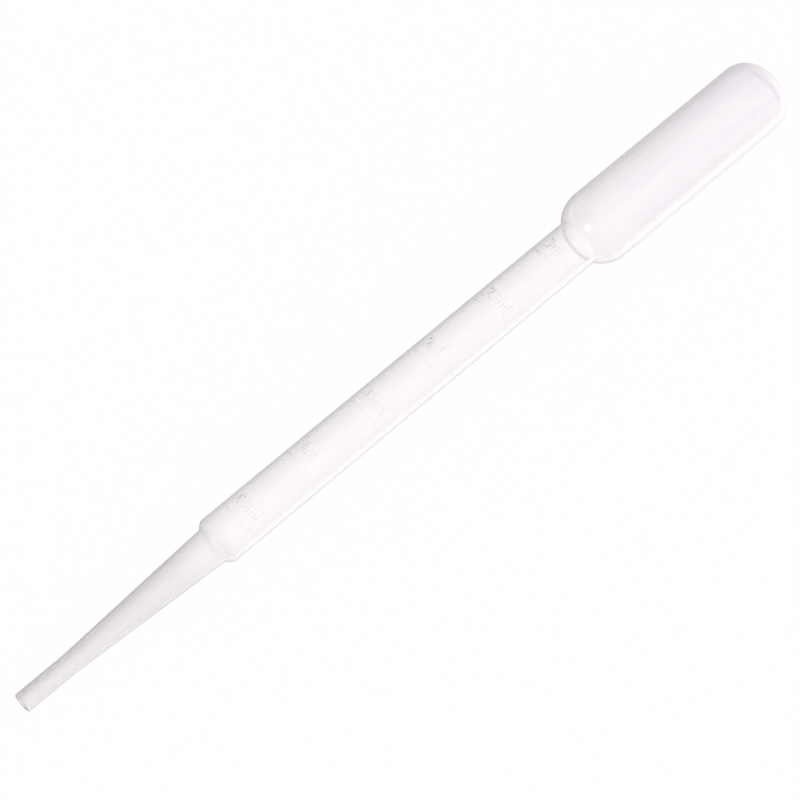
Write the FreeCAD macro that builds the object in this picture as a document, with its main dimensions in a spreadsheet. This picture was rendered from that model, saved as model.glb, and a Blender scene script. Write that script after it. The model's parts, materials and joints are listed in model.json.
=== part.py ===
import FreeCAD, Part
import math
import os

import Sketcher

# A one-piece dropper pipette, blow-moulded from a tube of soft polyethylene: a fine straight
# tip, a conical stem, a straight barrel with raised graduation lines, and a closed squeeze
# bulb. The section is drawn along the pipette's own X axis, with the tip's face at X = 0, and
# turned about that axis. The pipette then lies on the ground, on its tip's lip and the
# shoulder of its bulb.
#
# Every driving size is a cell of the sheet, in millimetres, cubic millimetres or degrees.
SIZES = (
    ("tip_dia", 3.2, "outside of the straight tip"),
    ("bore_dia", 1.9, "hole through the straight tip"),
    ("tip_length", 9.0, "straight tip, from its face to the cone"),
    ("lip_round", 0.2, "round on the outer edge of the tip's face"),
    ("stem_dia", 6.0, "outside of the cone where it meets the shoulder"),
    ("stem_length", 27.0, "cone, from the straight tip to the shoulder"),
    ("stem_wall", 0.42, "wall at the wide end of the cone"),
    ("shoulder_length", 2.0, "from the cone's wide end to the barrel's full width"),
    ("shoulder_hollow", 0.8, "hollow round at the foot of the shoulder"),
    ("shoulder_round", 1.3, "full round at the top of the shoulder"),
    ("barrel_dia", 7.9, "outside of the graduated barrel"),
    ("barrel_wall", 0.42, "wall of the barrel"),
    ("barrel_length", 74.5, "barrel, from the shoulder to the crease at the bulb"),
    ("bulb_dia", 12.4, "outside of the bulb"),
    ("bulb_wall", 0.4, "wall of the bulb"),
    ("bulb_length", 43.0, "bulb, from the crease to the top of its crown"),
    ("dome_radius", 5.8, "round of the bulb's shoulder above the crease"),
    ("knuckle_radius", 4.2, "round between the bulb's side and its crown"),
    ("crown_radius", 11.0, "round of the crown across the closed end"),
    ("pinch_height", 0.35, "weld ridge where the mould pinched the tube shut"),
    ("pinch_width", 0.7, "thickness of the weld ridge"),
    ("mark_volume", 500.0, "liquid between two graduation lines"),
    ("mark_first", 3.4, "lowest line, from the barrel's lower end"),
    ("mark_width", 0.4, "graduation line across its foot"),
    ("mark_height", 0.12, "how far a graduation line stands proud"),
    ("mark_arc", 80.0, "angle that a graduation line spans round the barrel"),
    ("mark_turn", 10.0, "angle from straight up to the middle of the lines"),
)

doc = FreeCAD.newDocument("dropper_pipette")
sheet = doc.addObject("Spreadsheet::Sheet", "sizes")
for row, (alias, value, meaning) in enumerate(SIZES, start=1):
    sheet.set(f"A{row}", str(value))
    sheet.setAlias(f"A{row}", alias)
    sheet.set(f"B{row}", meaning)
doc.recompute()
size = {alias: float(sheet.get(alias)) for alias, _, _ in SIZES}

# Where each stretch of the pipette ends, as an expression on the sheet.
CONE_FOOT = "sizes.tip_length"
CONE_END = f"{CONE_FOOT} + sizes.stem_length"
BARREL_FOOT = f"{CONE_END} + sizes.shoulder_length"
CREASE = f"{BARREL_FOOT} + sizes.barrel_length"
CROWN = f"{CREASE} + sizes.bulb_length"

# The same places as numbers, for drawing the section near its solution and for the rest pose.
cone_foot = size["tip_length"]
cone_end = cone_foot + size["stem_length"]
barrel_foot = cone_end + size["shoulder_length"]
crease = barrel_foot + size["barrel_length"]
crown = crease + size["bulb_length"]
tip_r = size["tip_dia"] / 2
bore_r = size["bore_dia"] / 2
stem_r = size["stem_dia"] / 2
barrel_r = size["barrel_dia"] / 2
bulb_r = size["bulb_dia"] / 2


class Outline:
    """A closed sketch outline, drawn piece by piece, with every size held by the sheet.

    In a sketch, geometry -1 is the axis that the pipette runs along, with the origin as its
    vertex 1, and geometry -2 is the axis across it.
    """

    def __init__(self, body, name, role):
        plane = next(f for f in body.Origin.OriginFeatures if f.Role == role)
        self.sketch = body.newObject("Sketcher::SketchObject", name)
        self.sketch.AttachmentSupport = [(plane, "")]
        self.sketch.MapMode = "FlatFace"
        self.ends = {}

    def line(self, start, end):
        """A straight piece; returns its number in the sketch."""
        shape = Part.LineSegment(FreeCAD.Vector(*start, 0), FreeCAD.Vector(*end, 0))
        number = self.sketch.addGeometry(shape, False)
        self.ends[number] = (1, 2)
        return number

    def arc(self, centre, radius, start, end, hollow=False):
        """A round piece about centre, between two angles in degrees, lower angle first."""
        circle = Part.Circle(FreeCAD.Vector(*centre, 0), FreeCAD.Vector(0, 0, 1), radius)
        shape = Part.ArcOfCircle(circle, math.radians(start), math.radians(end))
        number = self.sketch.addGeometry(shape, False)
        self.ends[number] = (1, 2) if hollow else (2, 1)
        return number

    def point(self, name, place, x, y):
        """A construction point held at the expressions x and y."""
        number = self.sketch.addGeometry(Part.Point(FreeCAD.Vector(*place, 0)), True)
        self.place(f"{name}_x", "DistanceX", (number, 1), x, place[0])
        self.place(f"{name}_y", "DistanceY", (number, 1), y, place[1])
        return number, 1

    def entry(self, number):
        return number, self.ends[number][0]

    def exit(self, number):
        return number, self.ends[number][1]

    def add(self, kind, *args):
        return self.sketch.addConstraint(Sketcher.Constraint(kind, *args))

    def bind(self, name, number, expression):
        self.sketch.renameConstraint(number, name)
        self.sketch.setExpression(f"Constraints.{name}", expression)

    def place(self, name, kind, vertex, expression, value):
        """Holds a vertex at an expression, measured from the sketch's origin."""
        self.bind(name, self.add(kind, -1, 1, *vertex, value), expression)

    def radius(self, name, number, expression, value):
        self.bind(name, self.add("Radius", number, value), expression)

    def join(self, first, second, smooth=True):
        """Runs one piece into the next, tangent or with a corner."""
        kind = "Tangent" if smooth else "Coincident"
        self.add(kind, *self.exit(first), *self.entry(second))

    def concentric(self, first, second):
        self.add("Coincident", first, 3, second, 3)


def draw_wall(body):
    """Half of the lengthwise section: the outside from tip to crown, then the inside back."""
    wall = Outline(body, "wall_section", "XZ_Plane")
    lip = size["lip_round"]
    hollow, full = size["shoulder_hollow"], size["shoulder_round"]
    dome, knuckle, cap = size["dome_radius"], size["knuckle_radius"], size["crown_radius"]
    stem_wall, barrel_wall, bulb_wall = size["stem_wall"], size["barrel_wall"], size["bulb_wall"]

    # Centres and angles of the rounds, near enough for the sketch to settle on this form.
    steep = math.degrees(math.acos(1 - (barrel_r - stem_r) / (hollow + full)))
    hollow_mid = (barrel_foot - (hollow + full) * math.sin(math.radians(steep)), stem_r + hollow)
    full_mid = (barrel_foot, barrel_r - full)
    dome_half = math.degrees(math.acos(1 - (bulb_r - barrel_r) / dome))
    dome_mid = (crease + dome * math.sin(math.radians(dome_half)), bulb_r - dome)
    cap_half = math.degrees(math.asin((bulb_r - knuckle) / (cap - knuckle)))
    cap_mid = (crown - cap, 0)
    knuckle_mid = (cap_mid[0] + (cap - knuckle) * math.cos(math.radians(cap_half)), bulb_r - knuckle)

    face = wall.line((0, bore_r), (0, tip_r - lip))
    lip_arc = wall.arc((lip, tip_r - lip), lip, 90, 180)
    tip = wall.line((lip, tip_r), (cone_foot, tip_r))
    cone = wall.line((cone_foot, tip_r), (hollow_mid[0], stem_r))
    foot = wall.arc(hollow_mid, hollow, 270, 270 + steep, hollow=True)
    brow = wall.arc(full_mid, full, 90, 90 + steep)
    barrel = wall.line((barrel_foot, barrel_r), (crease, barrel_r))
    dome_arc = wall.arc(dome_mid, dome, 90, 90 + dome_half)
    side = wall.line((dome_mid[0], bulb_r), (knuckle_mid[0], bulb_r))
    knuckle_arc = wall.arc(knuckle_mid, knuckle, cap_half, 90)
    cap_arc = wall.arc(cap_mid, cap, 0, cap_half)
    closing = wall.line((crown, 0), (crown - bulb_wall, 0))
    cap_in = wall.arc(cap_mid, cap - bulb_wall, 0, cap_half, hollow=True)
    knuckle_in = wall.arc(knuckle_mid, knuckle - bulb_wall, cap_half, 90, hollow=True)
    side_in = wall.line((knuckle_mid[0], bulb_r - bulb_wall), (dome_mid[0], bulb_r - bulb_wall))
    dome_in = wall.arc(dome_mid, dome - bulb_wall, 90, 90 + dome_half, hollow=True)
    barrel_in = wall.line((crease, barrel_r - barrel_wall), (barrel_foot, barrel_r - barrel_wall))
    brow_in = wall.arc(full_mid, full - barrel_wall, 90, 90 + steep, hollow=True)
    foot_in = wall.arc(hollow_mid, hollow + stem_wall, 270, 270 + steep)
    cone_in = wall.line((hollow_mid[0], stem_r - stem_wall), (cone_foot, bore_r))
    bore = wall.line((cone_foot, bore_r), (0, bore_r))

    # The cone's outside and inside aim at these two points at its wide end.
    aim = wall.point("cone", (cone_end, stem_r), CONE_END, "sizes.stem_dia / 2")
    aim_in = wall.point(
        "cone_in", (cone_end, stem_r - stem_wall), CONE_END, "sizes.stem_dia / 2 - sizes.stem_wall"
    )

    wall.add("Vertical", face)
    for level in (tip, barrel, side, side_in, barrel_in, bore):
        wall.add("Horizontal", level)
    for first, second in (
        (face, lip_arc),
        (lip_arc, tip),
        (cone, foot),
        (foot, brow),
        (brow, barrel),
        (dome_arc, side),
        (side, knuckle_arc),
        (knuckle_arc, cap_arc),
        (cap_in, knuckle_in),
        (knuckle_in, side_in),
        (side_in, dome_in),
        (barrel_in, brow_in),
        (brow_in, foot_in),
        (foot_in, cone_in),
    ):
        wall.join(first, second)
    for first, second in (
        (tip, cone),
        (barrel, dome_arc),
        (cap_arc, closing),
        (closing, cap_in),
        (dome_in, barrel_in),
        (cone_in, bore),
        (bore, face),
    ):
        wall.join(first, second, smooth=False)
    wall.concentric(cap_in, cap_arc)
    wall.concentric(knuckle_in, knuckle_arc)
    wall.concentric(dome_in, dome_arc)
    wall.concentric(brow_in, brow)

    wall.add("PointOnObject", *wall.entry(face), -2)
    wall.place("bore", "DistanceY", wall.entry(face), "sizes.bore_dia / 2", bore_r)
    wall.radius("lip", lip_arc, "sizes.lip_round", lip)
    wall.place("tip", "DistanceY", wall.entry(tip), "sizes.tip_dia / 2", tip_r)
    wall.place("cone_foot", "DistanceX", wall.exit(tip), CONE_FOOT, cone_foot)
    wall.add("PointOnObject", *aim, cone)
    wall.radius("hollow", foot, "sizes.shoulder_hollow", hollow)
    wall.radius("full", brow, "sizes.shoulder_round", full)
    wall.place("barrel", "DistanceY", wall.entry(barrel), "sizes.barrel_dia / 2", barrel_r)
    wall.place("barrel_foot", "DistanceX", wall.entry(barrel), BARREL_FOOT, barrel_foot)
    wall.place("crease", "DistanceX", wall.exit(barrel), CREASE, crease)
    wall.radius("dome", dome_arc, "sizes.dome_radius", dome)
    wall.place("bulb", "DistanceY", wall.entry(side), "sizes.bulb_dia / 2", bulb_r)
    wall.radius("knuckle", knuckle_arc, "sizes.knuckle_radius", knuckle)
    wall.radius("cap", cap_arc, "sizes.crown_radius", cap)
    wall.add("PointOnObject", cap_arc, 3, -1)
    wall.add("PointOnObject", *wall.exit(cap_arc), -1)
    wall.place("crown", "DistanceX", wall.exit(cap_arc), CROWN, crown)
    wall.add("PointOnObject", *wall.exit(closing), -1)
    wall.place("inner_crown", "DistanceX", wall.exit(closing), f"{CROWN} - sizes.bulb_wall",
               crown - bulb_wall)
    wall.place("inside", "DistanceY", wall.exit(barrel_in),
               "sizes.barrel_dia / 2 - sizes.barrel_wall", barrel_r - barrel_wall)
    wall.radius("hollow_in", foot_in, "sizes.shoulder_hollow + sizes.stem_wall", hollow + stem_wall)
    wall.add("PointOnObject", *aim_in, cone_in)
    wall.add("Vertical", *wall.entry(bore), *wall.exit(tip))
    return wall.sketch


def draw_mark(body):
    """Section of the lowest graduation line: a low round crest, rooted half-way into the wall."""
    mark = Outline(body, "mark_section", "XZ_Plane")
    middle = barrel_foot + size["mark_first"]
    half, height = size["mark_width"] / 2, size["mark_height"]
    root = barrel_r - size["barrel_wall"] / 2
    round_r = (half ** 2 + height ** 2) / (2 * height)
    crest_mid = barrel_r + height - round_r
    rise = math.degrees(math.atan2(barrel_r - crest_mid, half))

    base = mark.line((middle + half, root), (middle - half, root))
    left = mark.line((middle - half, root), (middle - half, barrel_r))
    crest = mark.arc((middle, crest_mid), round_r, rise, 180 - rise)
    right = mark.line((middle + half, barrel_r), (middle + half, root))
    for first, second in ((base, left), (left, crest), (crest, right), (right, base)):
        mark.join(first, second, smooth=False)
    mark.add("Horizontal", base)
    mark.add("Vertical", left)
    mark.add("Vertical", right)
    centre = f"{BARREL_FOOT} + sizes.mark_first"
    mark.place("left", "DistanceX", mark.entry(left), f"{centre} - sizes.mark_width / 2", middle - half)
    mark.place("right", "DistanceX", mark.entry(right), f"{centre} + sizes.mark_width / 2", middle + half)
    mark.place("root", "DistanceY", mark.entry(left),
               "sizes.barrel_dia / 2 - sizes.barrel_wall / 2", root)
    mark.place("surface", "DistanceY", mark.exit(left), "sizes.barrel_dia / 2", barrel_r)
    mark.add("Horizontal", *mark.entry(crest), *mark.exit(crest))
    mark.radius(
        "crest", crest,
        "((sizes.mark_width / 2) ^ 2 + sizes.mark_height ^ 2) / (2 * sizes.mark_height)", round_r
    )
    return mark.sketch


def draw_pinch(body):
    """The weld ridge across the crown: a strip that follows it, rooted half-way into the wall."""
    ridge = Outline(body, "pinch_section", "XY_Plane")
    cap = size["crown_radius"]
    centre = crown - cap
    reach = (bulb_r - size["knuckle_radius"]) / (cap - size["knuckle_radius"])
    half = math.degrees(math.asin(reach))
    low, high = cap - size["bulb_wall"] / 2, cap + size["pinch_height"]

    def corner(radius, side):
        angle = math.radians(side * half)
        return centre + radius * math.cos(angle), radius * math.sin(angle)

    outer = ridge.arc((centre, 0), high, -half, half, hollow=True)
    upper = ridge.line(corner(high, 1), corner(low, 1))
    inner = ridge.arc((centre, 0), low, -half, half)
    lower = ridge.line(corner(low, -1), corner(high, -1))
    for first, second in ((outer, upper), (upper, inner), (inner, lower), (lower, outer)):
        ridge.join(first, second, smooth=False)
    ridge.concentric(inner, outer)
    ridge.place("middle", "DistanceX", (outer, 3), f"{CROWN} - sizes.crown_radius", centre)
    ridge.add("PointOnObject", outer, 3, -1)
    ridge.radius("high", outer, "sizes.crown_radius + sizes.pinch_height", high)
    ridge.radius("low", inner, "sizes.crown_radius - sizes.bulb_wall / 2", low)
    # Both ends lie on the rays where the crown runs into the knuckle.
    share = "(sizes.bulb_dia / 2 - sizes.knuckle_radius) / (sizes.crown_radius - sizes.knuckle_radius)"
    for name, vertex, sign, radius, total in (
        ("upper_out", ridge.entry(upper), 1, high, "(sizes.crown_radius + sizes.pinch_height)"),
        ("upper_in", ridge.exit(upper), 1, low, "(sizes.crown_radius - sizes.bulb_wall / 2)"),
        ("lower_in", ridge.entry(lower), -1, low, "(sizes.crown_radius - sizes.bulb_wall / 2)"),
        ("lower_out", ridge.exit(lower), -1, high, "(sizes.crown_radius + sizes.pinch_height)"),
    ):
        ridge.place(name, "DistanceY", vertex, f"{sign} * {total} * {share}", sign * radius * reach)
    return ridge.sketch


def build_pipette():
    body = doc.addObject("PartDesign::Body", "pipette")
    body.Label = "pipette"
    roles = {feature.Role: feature for feature in body.Origin.OriginFeatures}

    wall = body.newObject("PartDesign::Revolution", "wall")
    wall.Profile = (draw_wall(body), [""])
    wall.ReferenceAxis = (wall.Profile[0], ["H_Axis"])
    wall.Angle = 360

    mark = body.newObject("PartDesign::Revolution", "mark")
    mark.Profile = (draw_mark(body), [""])
    mark.ReferenceAxis = (mark.Profile[0], ["H_Axis"])
    mark.Midplane = True
    mark.setExpression("Angle", "sizes.mark_arc")

    # Lines are spaced by the liquid that the bore holds between them, and fill the barrel.
    pitch = "sizes.mark_volume / (pi / 4 * (sizes.barrel_dia - 2 * sizes.barrel_wall) ^ 2)"
    scale = body.newObject("PartDesign::LinearPattern", "scale")
    scale.Originals = [mark]
    scale.Direction = (roles["X_Axis"], [""])
    scale.Mode = "Spacing"
    scale.setExpression("Offset", pitch)
    scale.setExpression(
        "Occurrences", f"1 + floor((sizes.barrel_length - sizes.mark_first) / ({pitch}))"
    )
    body.Tip = scale
    doc.recompute()

    pinch = body.newObject("PartDesign::Pad", "pinch")
    pinch.Profile = (draw_pinch(body), [""])
    pinch.SideType = "Symmetric"
    pinch.setExpression("Length", "sizes.pinch_width")
    body.Tip = pinch
    doc.recompute()
    return body


def lay_down(body):
    """Lays the pipette on the ground, the lip of its tip and its bulb's shoulder touching it."""
    lip, dome = size["lip_round"], size["dome_radius"]
    rise = bulb_r - barrel_r
    dome_reach = math.sqrt(dome ** 2 - (dome - rise) ** 2)
    # The ground is the common tangent of the two rounds in the lengthwise section.
    along = crease + dome_reach - lip
    across = (tip_r - lip) - (bulb_r - dome)
    tilt = math.asin((dome - lip) / math.hypot(along, across)) - math.atan2(across, along)
    tilted = FreeCAD.Rotation(FreeCAD.Vector(0, 1, 0), -math.degrees(tilt))
    turned = FreeCAD.Rotation(FreeCAD.Vector(1, 0, 0), size["mark_turn"])
    body.Placement = FreeCAD.Placement(FreeCAD.Vector(0, 0, 0), tilted * turned)
    box = body.Shape.optimalBoundingBox(False)
    to_ground = FreeCAD.Vector(-box.Center.x, -box.Center.y, -box.ZMin)
    body.Placement = FreeCAD.Placement(to_ground, tilted * turned)


pipette = build_pipette()
lay_down(pipette)
doc.recompute()

for obj in doc.Objects:
    if "Invalid" in obj.State or "Error" in obj.State:
        raise RuntimeError(f"{obj.Name} failed: {obj.State}")
for part in (pipette,):
    if part.Shape.isNull() or not part.Shape.isValid() or len(part.Shape.Solids) != 1:
        raise RuntimeError(f"{part.Label} is not one valid solid")

os.makedirs("parts", exist_ok=True)
for part in (pipette,):
    part.Shape.exportStep(f"parts/{part.Label}.step")
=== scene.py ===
import json
import math

import bpy
from mathutils import Matrix, Vector


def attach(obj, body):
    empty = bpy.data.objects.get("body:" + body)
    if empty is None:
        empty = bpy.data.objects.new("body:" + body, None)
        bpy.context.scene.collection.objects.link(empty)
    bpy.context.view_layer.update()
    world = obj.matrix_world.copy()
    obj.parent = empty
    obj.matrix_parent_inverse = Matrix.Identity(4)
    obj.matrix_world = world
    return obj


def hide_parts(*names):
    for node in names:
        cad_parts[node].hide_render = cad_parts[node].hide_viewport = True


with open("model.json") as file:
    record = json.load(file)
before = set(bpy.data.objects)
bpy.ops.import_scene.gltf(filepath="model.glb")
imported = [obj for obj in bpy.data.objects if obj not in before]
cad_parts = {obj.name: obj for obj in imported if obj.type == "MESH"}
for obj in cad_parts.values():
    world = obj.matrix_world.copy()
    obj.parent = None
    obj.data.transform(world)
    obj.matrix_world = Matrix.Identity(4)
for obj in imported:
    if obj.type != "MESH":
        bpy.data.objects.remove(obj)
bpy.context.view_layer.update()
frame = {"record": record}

# The pipette's wall: one blow-moulded tube of soft polyethylene. From the tip it runs as a
# fine straight nozzle, a conical stem, a shoulder, a straight graduated barrel and a closed
# squeeze bulb. The graduation lines and their figures are raised in the outside of the wall.
mm = 0.001
tip_r, bore_r, tip_length, lip_round = 1.6, 0.95, 9.0, 0.2
stem_r, stem_length, stem_wall = 3.0, 27.0, 0.42
shoulder_length, shoulder_hollow, shoulder_round = 2.0, 0.8, 1.3
barrel_r, barrel_wall, barrel_length = 3.95, 0.42, 74.5
bulb_r, bulb_wall, bulb_length = 6.2, 0.4, 43.0
dome_radius, knuckle_radius, crown_radius = 5.8, 4.2, 11.0
barrel_foot = tip_length + stem_length + shoulder_length
crease = barrel_foot + barrel_length
crown = crease + bulb_length

# The graduation: 500 mm3 of bore, half a millilitre, lies between one line and the next.
line_volume, line_first, lines_turn = 500, barrel_foot + 3.4, 10.0
line_pitch = line_volume / (math.pi * (barrel_r - barrel_wall) ** 2)
line_arc, line_width, line_crest, line_height = 80.0, 0.4, 0.1, 0.12
figures = ("0.5ml", "1ml", "1.5ml", "2ml", "2.5ml", "3ml")
figure_tall, figure_wide, figure_gap, figure_edge, figure_height = 2.1, 0.8, 1.5, 0.09, 0.12
font_capital = 0.73


def arc(centre, radius, start, end, steps):
    """Points round a centre, in the lengthwise section, from one angle in degrees to another."""
    turns = [math.radians(start + (end - start) * i / steps) for i in range(steps + 1)]
    return [(centre[0] + radius * math.cos(t), centre[1] + radius * math.sin(t)) for t in turns]


def run(start, end, step):
    """Points along a straight stretch of the section, with both its ends."""
    parts = max(1, math.ceil(math.dist(start, end) / step))
    return [tuple(a + (b - a) * i / parts for a, b in zip(start, end)) for i in range(parts + 1)]


def shoulder(foot, aim, hollow, full, top):
    """The cone from its foot, then the hollow and the full round that lead up to the barrel."""
    lean = math.atan2(aim[1] - foot[1], aim[0] - foot[0])
    along = Vector((math.cos(lean), math.sin(lean)))
    out = Vector((-math.sin(lean), math.cos(lean)))
    brow = Vector((barrel_foot, top - full))
    gap = Vector(foot) + out * hollow - brow
    back = gap.dot(along)
    reach = -back - math.sqrt(back ** 2 - gap.length_squared + (hollow + full) ** 2)
    middle = Vector(foot) + along * reach + out * hollow
    turn = math.degrees(math.atan2(brow.y - middle.y, brow.x - middle.x))
    return (
        run(foot, tuple(middle - out * hollow), 1.0)
        + arc(middle, hollow, math.degrees(lean) - 90, turn, steps=8)
        + arc(brow, full, turn + 180, 90, steps=10)
    )


def bulb_section(inset):
    """The bulb from its crease to the middle of its crown, set in from its outside."""
    dome_mid = (
        crease + math.sqrt(dome_radius ** 2 - (dome_radius - bulb_r + barrel_r) ** 2),
        bulb_r - dome_radius,
    )
    neck = barrel_r - (barrel_wall if inset else 0)
    rise = math.degrees(math.asin((neck - dome_mid[1]) / (dome_radius - inset)))
    half = math.degrees(math.asin((bulb_r - knuckle_radius) / (crown_radius - knuckle_radius)))
    cap_mid = (crown - crown_radius, 0)
    knuckle_mid = (
        cap_mid[0] + (crown_radius - knuckle_radius) * math.cos(math.radians(half)),
        bulb_r - knuckle_radius,
    )
    return (
        arc(dome_mid, dome_radius - inset, 180 - rise, 90, steps=16)
        + run((dome_mid[0], bulb_r - inset), (knuckle_mid[0], bulb_r - inset), 1.5)
        + arc(knuckle_mid, knuckle_radius - inset, 90, half, steps=14)
        + arc(cap_mid, crown_radius - inset, half, 0, steps=12)
    )


def barrel_rows():
    """Places along the barrel's outside, close together where a line or a figure is raised."""
    foot_step, line_step, figure_step, plain_step = 0.5, 0.05, 0.07, 0.35
    lead, line_past, figure_lead, figure_past = 0.5, 0.4, 0.25, 0.2
    rows, place = [], barrel_foot
    while place < crease - 0.01:
        past = (place - line_first + lead) % line_pitch - lead
        if place < line_first - lead:
            place += foot_step
        elif past < line_past:
            place += line_step
        elif figure_gap - figure_lead < past < figure_gap + figure_tall + figure_past:
            place += figure_step
        else:
            place += plain_step
        rows.append((min(place, crease), barrel_r))
    return rows


def without_doubles(points):
    """The points with one left out wherever two stretches of the section share it."""
    kept = [points[0]]
    for point in points[1:]:
        if math.dist(point, kept[-1]) > 1e-4:
            kept.append(point)
    return kept


outside = without_doubles(
    run((0, bore_r), (0, tip_r - lip_round), 0.3)
    + arc((lip_round, tip_r - lip_round), lip_round, 180, 90, steps=6)
    + run((lip_round, tip_r), (tip_length, tip_r), 1.0)
    + shoulder(
        (tip_length, tip_r),
        (tip_length + stem_length, stem_r),
        shoulder_hollow,
        shoulder_round,
        barrel_r,
    )
    + barrel_rows()
    + bulb_section(0)
)
inside = without_doubles(
    run((0, bore_r), (tip_length, bore_r), 1.5)
    + shoulder(
        (tip_length, bore_r),
        (tip_length + stem_length, stem_r - stem_wall),
        shoulder_hollow + stem_wall,
        shoulder_round - barrel_wall,
        barrel_r - barrel_wall,
    )
    + run((barrel_foot, barrel_r - barrel_wall), (crease, barrel_r - barrel_wall), 3.0)
    + bulb_section(bulb_wall)
)

# Degrees round the pipette from the middle of its graduation lines: close under the figures.
close_turn, close_columns, wide_columns = 1.05, 40, 52
columns = [i * close_turn for i in range(-close_columns, close_columns + 1)]
wide_turn = (360 - (columns[-1] - columns[0])) / wide_columns
columns += [columns[-1] + wide_turn * i for i in range(1, wide_columns)]

# From the outside of the crown, down over the lip of the tip and up the inside to the crown.
rings = outside[-2::-1] + inside[1:-1]
points = [(crown, 0, 0)]
for along, radius in rings:
    for turn in columns:
        t = math.radians(turn)
        points.append((along, radius * math.sin(t), radius * math.cos(t)))
points.append((inside[-1][0], 0, 0))
count, last = len(columns), len(points) - 1
faces = []
for j in range(count):
    k = (j + 1) % count
    faces.append((0, 1 + k, 1 + j))
    for i in range(len(rings) - 1):
        a, b = 1 + i * count, 1 + (i + 1) * count
        faces.append((a + j, a + k, b + k, b + j))
    faces.append((last, last - count + j, last - count + k))

wall_mesh = bpy.data.meshes.new("pipette_wall")
wall_mesh.from_pydata([[c * mm for c in p] for p in points], [], faces)
outer_points = (len(outside) - 1) * count
wall_mesh.attributes.new("outer", "FLOAT", "POINT").data.foreach_set(
    "value", [float(i <= outer_points) for i in range(len(points))]
)
wall = bpy.data.objects.new("pipette_wall", wall_mesh)
bpy.context.scene.collection.objects.link(wall)


class Wire:
    """A value on its way through a node tree. Sums written with it add Math nodes."""

    def __init__(self, net, socket):
        self.net, self.socket = net, socket

    def _sum(self, operation, *values):
        return self.net.add("ShaderNodeMath", {"operation": operation}, dict(enumerate(values)))

    def __add__(self, other):
        return self._sum("ADD", self, other)

    def __radd__(self, other):
        return self._sum("ADD", other, self)

    def __sub__(self, other):
        return self._sum("SUBTRACT", self, other)

    def __rsub__(self, other):
        return self._sum("SUBTRACT", other, self)

    def __mul__(self, other):
        return self._sum("MULTIPLY", self, other)

    def __rmul__(self, other):
        return self._sum("MULTIPLY", other, self)

    def __truediv__(self, other):
        return self._sum("DIVIDE", self, other)

    def __gt__(self, other):
        return self._sum("GREATER_THAN", self, other)

    def __abs__(self):
        return self._sum("ABSOLUTE", self)


class Net:
    """A node tree being wired: every node comes from add()."""

    def __init__(self, tree):
        self.tree = tree

    def add(self, kind, settings=None, sockets=None, out=0):
        node = self.tree.nodes.new(kind)
        for name, value in (settings or {}).items():
            setattr(node, name, value)
        for name, value in (sockets or {}).items():
            if isinstance(value, Wire):
                self.tree.links.new(value.socket, node.inputs[name])
            elif isinstance(value, list):
                for wire in value:
                    self.tree.links.new(wire.socket, node.inputs[name])
            else:
                node.inputs[name].default_value = value
        return Wire(self, node.outputs[out]) if node.outputs else None

    def also(self, wire, out):
        """Another output of the node that a wire comes from."""
        return Wire(self, wire.socket.node.outputs[out])

    def fade(self, value, start, end, low, high, kind="SMOOTHSTEP"):
        """A number that goes from low to high while the value goes from start to end."""
        return self.add(
            "ShaderNodeMapRange",
            {"interpolation_type": kind},
            {"Value": value, "From Min": start, "From Max": end, "To Min": low, "To Max": high},
        )

    def larger(self, one, other):
        """The larger of two numbers."""
        return self.add("ShaderNodeMath", {"operation": "MAXIMUM"}, {0: one, 1: other})

    def blend(self, amount, one, other):
        """A colour that goes from one to the other as the amount goes from 0 to 1."""
        return self.add("ShaderNodeMix", {"data_type": "RGBA"}, {0: amount, 6: one, 7: other}, 2)


# The raised scale: flat lines and letters, laid out along a flat copy of the barrel's outside,
# lift the wall where they lie on it.
raised = bpy.data.node_groups.new("raised_scale", "GeometryNodeTree")
raised.is_modifier = True
sizes = {}
for name, kind, value in (
    ("Geometry", "NodeSocketGeometry", None),
    ("Outside radius", "NodeSocketFloat", barrel_r * mm),
    ("First line", "NodeSocketFloat", line_first * mm),
    ("Pitch", "NodeSocketFloat", line_pitch * mm),
    ("Line length", "NodeSocketFloat", math.radians(line_arc) * barrel_r * mm),
    ("Line crest", "NodeSocketFloat", line_crest * mm),
    ("Figure size", "NodeSocketFloat", figure_tall / font_capital * mm),
    ("Figure gap", "NodeSocketFloat", figure_gap * mm),
    ("Line height", "NodeSocketFloat", line_height * mm),
    ("Figure height", "NodeSocketFloat", figure_height * mm),
    ("Material", "NodeSocketMaterial", None),
):
    sizes[name] = (raised.interface.new_socket(name, in_out="INPUT", socket_type=kind), value)
raised.interface.new_socket("Geometry", in_out="OUTPUT", socket_type="NodeSocketGeometry")
net = Net(raised)
given = raised.nodes.new("NodeGroupInput")
size = {name: Wire(net, given.outputs[name]) for name in sizes}

# The outside is laid out flat: X along the pipette, Y round it by its arc length.
place = net.add("GeometryNodeInputPosition")
across = net.add("ShaderNodeSeparateXYZ", sockets={0: place})
y, z = net.also(across, 1), net.also(across, 2)
radius = net.add("ShaderNodeMath", {"operation": "SQRT"}, {0: y * y + z * z})
turn = net.add("ShaderNodeMath", {"operation": "ARCTAN2"}, {0: y, 1: z})
flat = net.add("ShaderNodeCombineXYZ", sockets={0: across, 1: turn * size["Outside radius"]})

line = net.add(
    "GeometryNodeMeshGrid",
    sockets={
        "Size X": size["Line crest"],
        "Size Y": size["Line length"],
        "Vertices X": 2,
        "Vertices Y": 2,
    },
)
places = net.add(
    "GeometryNodeMeshLine",
    {"mode": "OFFSET"},
    {
        "Count": len(figures),
        "Start Location": net.add("ShaderNodeCombineXYZ", sockets={0: size["First line"]}),
        "Offset": net.add("ShaderNodeCombineXYZ", sockets={0: size["Pitch"]}),
    },
)
lines = net.add("GeometryNodeInstanceOnPoints", sockets={"Points": places, "Instance": line})

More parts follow.
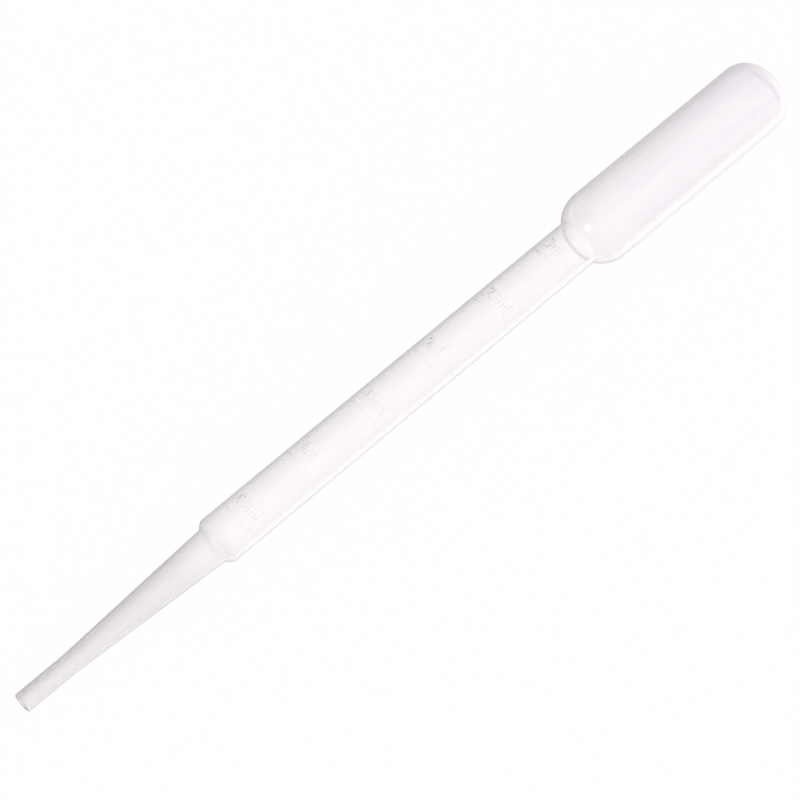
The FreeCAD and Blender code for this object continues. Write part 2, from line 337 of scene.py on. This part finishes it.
letters = []
font = bpy.data.fonts.load("<builtin>")
for number, text in enumerate(figures):
    word = net.add(
        "GeometryNodeStringToCurves",
        {"align_x": "LEFT", "align_y": "BOTTOM_BASELINE", "font": font},
        {"String": text, "Size": size["Figure size"]},
    )
    along = size["First line"] + number * size["Pitch"] + size["Figure gap"]
    start = net.add("ShaderNodeCombineXYZ", sockets={0: along, 1: size["Line length"] * 0.5})
    letters.append(
        net.add(
            "GeometryNodeTransform",
            sockets={
                "Geometry": net.add("GeometryNodeFillCurve", sockets={"Curve": word}),
                "Translation": start,
                "Rotation": (0, 0, math.radians(-90)),
                "Scale": (figure_wide, 1, 1),
            },
        )
    )
words = net.add("GeometryNodeJoinGeometry", sockets={0: letters})


def relief(shapes, height, edge):
    """How far the wall stands proud: full height on a flat shape, easing off past its edge."""
    solid = net.add("GeometryNodeRealizeInstances", sockets={0: shapes})
    away = net.add(
        "GeometryNodeProximity",
        {"target_element": "FACES"},
        {"Geometry": solid, "Sample Position": flat},
        1,
    )
    return net.fade(away, 0.0, edge * mm, height, 0.0)


lift = net.larger(
    relief(lines, size["Line height"], (line_width - line_crest) / 2),
    relief(words, size["Figure height"], figure_edge),
)
moved = net.add(
    "GeometryNodeSetPosition",
    sockets={
        "Geometry": size["Geometry"],
        "Selection": radius > (barrel_r - barrel_wall / 2) * mm,
        "Offset": net.add(
            "ShaderNodeCombineXYZ", sockets={1: y / radius * lift, 2: z / radius * lift}
        ),
    },
)
whole = net.add("GeometryNodeRealizeInstances", sockets={0: moved})
done = net.add(
    "GeometryNodeSetMaterial", sockets={"Geometry": whole, "Material": size["Material"]}
)
net.add("NodeGroupOutput", sockets={"Geometry": done})

# The face of the tip and the direction of the bore place the pipette in the frame.
bore = next(m for m in frame["record"]["mounts"] if m["name"] == "tip_bore")
towards_tip = Vector(bore["axis"])
tip_face = Vector(bore["pos_m"]) + towards_tip * bore["dims"]["length_mm"] / 2 * mm
tilt = math.asin(-towards_tip.z)
rest = (
    Matrix.Translation(tip_face)
    @ Matrix.Rotation(-tilt, 4, "Y")
    @ Matrix.Rotation(math.radians(lines_turn), 4, "X")
)

# Natural polyethylene: see-through where the wall is looked at square on, milkier where more
# plastic is in line, which is edge on and towards the tip, frosted round the shoulder, faintly
# lavender and streaked over the bulb, and darker towards the tip. Painted shade greys the milk
# along the wall's edges, and extra milk and grey paint a dark arc of painted shade over the far
# side of the crease. The mould leaves flow marks drawn out along the tube, a fine skin and a
# parting line each side.
clear_pale, clear_flow = (1.0, 0.99, 0.993, 1), (0.995, 0.976, 0.989, 1)
milk_pale, milk_tip = (0.96, 0.93, 0.944, 1), (0.8, 0.765, 0.785, 1)
clear_bulb, milk_bulb = (0.965, 0.943, 0.968, 1), (0.925, 0.887, 0.935, 1)
# The first colour below is the grey of the painted shade at the wall's edges and far crease.
painted_shade_grey, let_through = (0.55, 0.515, 0.535, 1), (0.95, 0.94, 0.945, 1)
plastic_ior, clear_rough, cloud_rough, knee_rough, milk_rough = 1.51, 0.08, 0.06, 0.12, 0.5
seam_flat, seam_reach, seam_high, flow_high, skin_high = 0.05, 0.16, 0.03, 0.014, 0.004
# Towards the tip the wall gets milkier and its milk darker, from thick_end down to thick_start.
thick_start, thick_end, tip_darkening = 6.0, 40.0, 8
knee_middle, knee_flat, knee_reach = barrel_foot - shoulder_length / 2, 0.6, 2.6
fold_flat, fold_reach = 0.05, 0.3
tint_start, tint_end, tint_least = crease - 0.5, crease + 11.5, 0.2
streak_pale, streak_full = 0.42, 0.6

# How much of the wall's look is milk: everywhere, and added by each of these. The rim and the
# edge set in as the wall turns away; at the edge and in the crease, painted shade greys the milk.
milk_least, milk_cloud, milk_thick, milk_outside = 0.05, 0.03, 0.4, 0.22
milk_fold, milk_rim, milk_inside, rim_behind = 0.65, 0.72, 0.15, 0.4
rim_start, rim_full, edge_start, edge_full = 0.34, 0.6, 0.52, 0.95
# Painted shade: how grey the milk goes at the edge, more towards the tip, less on the bulb, and
# in the crease.
painted_edge_shade, painted_shade_tip, painted_shade_bulb, painted_crease_grey = 0.6, 4, 0.35, 0.9
polyethylene = bpy.data.materials.new("soft_polyethylene")
polyethylene.use_nodes = True
polyethylene.node_tree.nodes.clear()
shade = Net(polyethylene.node_tree)

# The pipette's own millimetres: X along it from the tip's face, Z out of its parting plane.
back = rest.inverted()
own = shade.add(
    "ShaderNodeMapping",
    sockets={
        "Vector": shade.add("ShaderNodeTexCoord", out="Object"),
        "Location": back.translation / mm,
        "Rotation": back.to_euler(),
        "Scale": (1 / mm, 1 / mm, 1 / mm),
    },
)
place = shade.add("ShaderNodeSeparateXYZ", sockets={0: own})
drawn = shade.add(
    "ShaderNodeVectorMath", {"operation": "MULTIPLY"}, {0: own, 1: (0.05, 1.0, 1.0)}
)
flow = shade.add("ShaderNodeTexNoise", sockets={"Vector": drawn, "Scale": 0.45, "Detail": 3.0})
skin = shade.add("ShaderNodeTexNoise", sockets={"Vector": own, "Scale": 1.1, "Detail": 2.0})
cloud = shade.add("ShaderNodeTexNoise", sockets={"Vector": own, "Scale": 0.16, "Detail": 2.0})
seam = shade.fade(abs(shade.also(place, 2)), seam_flat, seam_reach, 1.0, 0.0)
bump = shade.add(
    "ShaderNodeBump",
    sockets={
        "Height": seam * seam_high + flow * flow_high + skin * skin_high,
        "Distance": mm,
        "Strength": 1.0,
    },
)

# Where the wall thickens, bends, folds or turns away.
facing = shade.add("ShaderNodeLayerWeight", sockets={"Blend": 0.5}, out="Facing")
behind = shade.add("ShaderNodeNewGeometry", out="Backfacing")
outer = shade.add("ShaderNodeAttribute", {"attribute_name": "outer"}, out="Fac")
thick = shade.fade(place, thick_start, thick_end, milk_thick, 0.0, "LINEAR")
knee = shade.fade(abs(place - knee_middle), knee_flat, knee_reach, knee_rough, 0.0)
bulb = shade.fade(place, tint_start, tint_end, 0.0, 1.0)
streak = bulb * shade.fade(flow, streak_pale, streak_full, tint_least, 1.0, "LINEAR")
# Painted shade: a dark arc over the far side of the crease, seen through the wall.
painted_crease_shade = shade.fade(abs(place - crease), fold_flat, fold_reach, 1.0, 0.0) * behind
rim = shade.fade(facing, rim_start, rim_full, 0.0, milk_rim)
# Painted shade: the milk greys where the wall turns away from view.
edge = shade.fade(facing, edge_start, edge_full, 0.0, painted_edge_shade)

clear = shade.add(
    "ShaderNodeBsdfPrincipled",
    sockets={
        "Base Color": shade.blend(
            streak, shade.blend(flow * 0.6 + cloud * 0.4, clear_pale, clear_flow), clear_bulb
        ),
        "Roughness": clear_rough + cloud_rough * cloud + knee,
        "IOR": plastic_ior,
        "Transmission Weight": 1.0,
        "Normal": bump,
    },
)
# The second shader is the grey of the painted shade.
milk, painted_shade_bsdf = [
    shade.add(
        "ShaderNodeBsdfPrincipled",
        sockets={
            "Base Color": colour,
            "Roughness": milk_rough,
            "IOR": plastic_ior,
            "Specular IOR Level": 0.2,
            "Normal": bump,
        },
    )
    for colour in (
        shade.blend(streak, shade.blend(thick * tip_darkening, milk_pale, milk_tip), milk_bulb),
        painted_shade_grey,
    )
]
# Painted shade: grey at the edges, stronger towards the tip and weaker on the bulb, and in the
# crease.
edge = edge * (1 + painted_shade_tip * thick) * (1 - (1 - painted_shade_bulb) * bulb)
painted_shade_amount = shade.larger(edge, painted_crease_grey * painted_crease_shade)
milk = shade.add("ShaderNodeMixShader", sockets={0: painted_shade_amount, 1: milk, 2: painted_shade_bsdf})
rim = rim * (1 - (1 - rim_behind) * behind)
outside_milk = milk_outside * (1 - behind) + milk_fold * painted_crease_shade + rim
inside_milk = milk_inside * facing * facing * facing
share = milk_least + milk_cloud * cloud + thick + outer * outside_milk + (1 - outer) * inside_milk
surface = shade.add("ShaderNodeMixShader", sockets={0: share, 1: clear, 2: milk})

# Light for the table passes straight through the wall, so that only a faint shadow is left.
light = shade.add("ShaderNodeLightPath", out="Is Shadow Ray")
lit = shade.larger(light, shade.also(light, "Is Diffuse Ray"))
passed = shade.add("ShaderNodeBsdfTransparent", sockets={"Color": let_through})
surface = shade.add("ShaderNodeMixShader", sockets={0: lit, 1: surface, 2: passed})
shade.add("ShaderNodeOutputMaterial", sockets={"Surface": surface})

modifier = wall.modifiers.new("raised_scale", "NODES")
modifier.node_group = raised
for name, (socket, value) in sizes.items():
    if value is not None:
        modifier[socket.identifier] = value
modifier[sizes["Material"][0].identifier] = polyethylene
bpy.context.view_layer.update()
evaluated = wall.evaluated_get(bpy.context.evaluated_depsgraph_get())
finished = bpy.data.meshes.new_from_object(evaluated)
wall.modifiers.clear()
wall.data = finished
wall.data.transform(rest)
wall.data.shade_smooth()
wall.data.set_sharp_from_angle(angle=math.radians(40))
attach(wall, "root")
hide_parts("pipette")

# The weld ridge across the crown, where the closing mould pinched the hot tube shut. It is
# of the same polyethylene, stands in the parting plane, and its crest is left as it was cut.
ridge_high, ridge_wide, ridge_root = 0.35, 0.7, 0.2
ridge_nick, ridge_square, ridge_end = 0.03, 0.45, 0.15
ridge_half = math.asin((bulb_r - knuckle_radius) / (crown_radius - knuckle_radius))
cap_middle = crown - crown_radius
stations, section = 48, 12
ridge_points, ridge_faces = [], []
for i in range(stations + 1):
    t = ridge_half * (2 * i / stations - 1)
    nick = ridge_nick * (0.5 + 0.5 * math.sin(41 * t)) * (1 - math.cos(20 * t))
    ends = min(1.0, 8 * min(i, stations - i) / stations + ridge_end)
    for j in range(section):
        turn = math.pi * j / (section - 1)
        wide = math.copysign(abs(math.cos(turn)) ** ridge_square, math.cos(turn)) * ridge_wide / 2
        high = ridge_root + (ridge_high - nick) * ends
        tall = high * math.sin(turn) ** ridge_square - ridge_root
        r = crown_radius + tall
        ridge_points.append((cap_middle + r * math.cos(t), r * math.sin(t), wide))
for i in range(stations):
    for j in range(section):
        k = (j + 1) % section
        a, b = i * section, (i + 1) * section
        ridge_faces.append((a + j, a + k, b + k, b + j))
ridge_faces.append(tuple(reversed(range(section))))
ridge_faces.append(tuple(stations * section + j for j in range(section)))
ridge_mesh = bpy.data.meshes.new("weld_ridge")
ridge_mesh.from_pydata([[c * mm for c in p] for p in ridge_points], [], ridge_faces)
ridge_mesh.attributes.new("outer", "FLOAT", "POINT").data.foreach_set(
    "value", [1.0] * len(ridge_points)
)
ridge_mesh.transform(rest)
ridge_mesh.shade_smooth()
ridge_mesh.set_sharp_from_angle(angle=math.radians(50))
ridge_mesh.materials.append(polyethylene)
ridge = bpy.data.objects.new("weld_ridge", ridge_mesh)
bpy.context.scene.collection.objects.link(ridge)
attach(ridge, "root")
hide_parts("pipette")

# The table: a plain white top that the pipette lies on, wide enough to lie behind it from
# every side. It looks white to the eye and in gloss, and takes the pipette's faint shadow.
table_half, table_glow = 3, 0.96
floor_mesh = bpy.data.meshes.new("floor")
floor_mesh.from_pydata(
    [(x * table_half, y * table_half, 0) for x, y in ((-1, -1), (1, -1), (1, 1), (-1, 1))],
    [],
    [(0, 1, 2, 3)],
)
floor = bpy.data.objects.new("floor", floor_mesh)
bpy.context.scene.collection.objects.link(floor)
white = bpy.data.materials.new("white_table")
white.use_nodes = True
white.node_tree.nodes.clear()
shade = Net(white.node_tree)
light = shade.add("ShaderNodeLightPath")
looked_at = shade.larger(light, shade.also(light, "Is Transmission Ray"))
looked_at = shade.larger(looked_at, shade.also(light, "Is Glossy Ray"))
top = shade.add("ShaderNodeBsdfDiffuse", sockets={"Color": (0.95, 0.95, 0.95, 1)})
glow = shade.add("ShaderNodeEmission", sockets={"Color": (1, 1, 1, 1), "Strength": 1.0})
surface = shade.add("ShaderNodeMixShader", sockets={0: looked_at * table_glow, 1: top, 2: glow})
shade.add("ShaderNodeOutputMaterial", sockets={"Surface": surface})
floor.data.materials.append(white)

# A soft studio: pale walls all round, brighter past the pipette's near side and dimmer past
# its far side, with two soft lamps that draw its highlights. The camera sees plain white.
studio_dim, studio_bright, towards_near = 0.33, 1.0, (0.3, -0.95, 0.0)
world = bpy.data.worlds.new("studio")
bpy.context.scene.world = world
world.use_nodes = True
world.node_tree.nodes.clear()
shade = Net(world.node_tree)
seen = shade.add("ShaderNodeLightPath", out="Is Camera Ray")
way = shade.add("ShaderNodeTexCoord", out="Generated")
near = shade.add(
    "ShaderNodeVectorMath", {"operation": "DOT_PRODUCT"}, {0: way, 1: towards_near}, "Value"
)
studio = shade.fade(near, -0.9, 0.2, studio_dim, studio_bright)
walls = shade.add("ShaderNodeBackground", sockets={"Color": (1, 1, 1, 1), "Strength": studio})
backdrop = shade.add("ShaderNodeBackground", sockets={"Color": (1, 1, 1, 1), "Strength": 1.0})
mixed = shade.add("ShaderNodeMixShader", sockets={0: seen, 1: walls, 2: backdrop})
shade.add("ShaderNodeOutputWorld", sockets={"Surface": mixed})

# The near lamp lights the pipette without showing in its gloss, and the tip lamp shows.
for name, spot, width, length, power in (
    ("near_lamp", (0.40, -1.05, 0.60), 1.2, 2.2, 4.2),
    ("tip_lamp", (-0.87, 0.03, 0.50), 0.3, 0.3, 0.75),
):
    lamp = bpy.data.lights.new(name, "AREA")
    lamp.shape, lamp.size, lamp.size_y = "RECTANGLE", length, width
    lamp.energy = power
    stand = bpy.data.objects.new(name, lamp)
    stand.location = Vector(spot)
    stand.rotation_euler = Vector(spot).to_track_quat("Z", "Y").to_euler()
    stand.visible_glossy = stand.visible_transmission = name != "near_lamp"
    bpy.context.scene.collection.objects.link(stand)

bpy.context.scene.view_settings.view_transform = "Standard"

# The camera: a long lens that looks down at a slant from the tip's near side.
lens = bpy.data.cameras.new("camera")
lens.lens, lens.sensor_width = 132.7, 36.0
camera = bpy.data.objects.new("camera", lens)
camera.location = (-0.15574, -0.16451, 0.39384)
camera.rotation_euler = (math.radians(90 - 60.2), 0, math.radians(-42.8))
bpy.context.scene.collection.objects.link(camera)
bpy.context.scene.camera = camera
